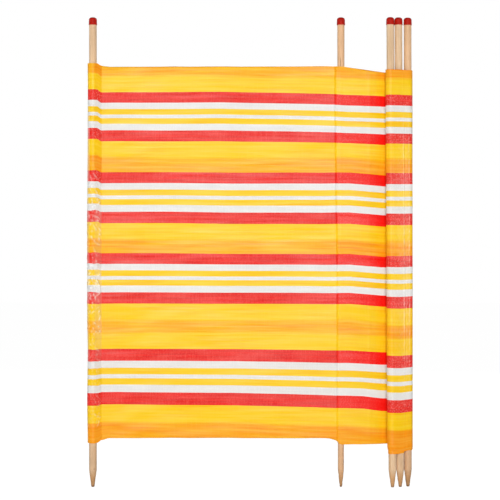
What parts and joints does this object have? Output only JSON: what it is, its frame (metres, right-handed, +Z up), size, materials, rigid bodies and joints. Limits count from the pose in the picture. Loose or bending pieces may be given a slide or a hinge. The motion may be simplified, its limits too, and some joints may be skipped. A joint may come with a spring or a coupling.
{
  "type": "beach windbreak",
  "caption": "Striped woven cloth on sharpened wooden poles with push-on caps: one bay spread to stop the wind, the next partly open, the rest rolled round the last poles.",
  "frame": {"origin": "centre of the blunt foot of the end pole, the outer pole of the spread bay", "axes": "+X along the bays from the end pole to the roll, +Z up the poles, -Y to the front"},
  "size_m": [0.8305, 0.0369, 1.2],
  "materials": {
    "wood": "bare sanded dowel",
    "cap_plastic": "moulded, slightly glossy",
    "cloth": "woven plastic tape with a soft sheen, in orange, yellow, red and white stripes"
  },
  "bodies": {
    "root": {"pole_1": "wood", "pole_2": "wood", "pole_3": "wood", "pole_4": "wood", "pole_5": "wood", "cap_1": "cap_plastic", "cap_2": "cap_plastic", "cap_3": "cap_plastic", "cap_4": "cap_plastic", "cap_5": "cap_plastic", "pocket_1": "cloth", "pocket_2": "cloth", "pocket_3": "cloth", "pocket_4": "cloth", "pocket_5": "cloth", "bay_1_panel": "cloth", "bay_2_panel": "cloth", "bay_2_turns": "cloth", "bay_3_turns": "cloth", "bay_4_turns": "cloth"}
  },
  "joints": []
}
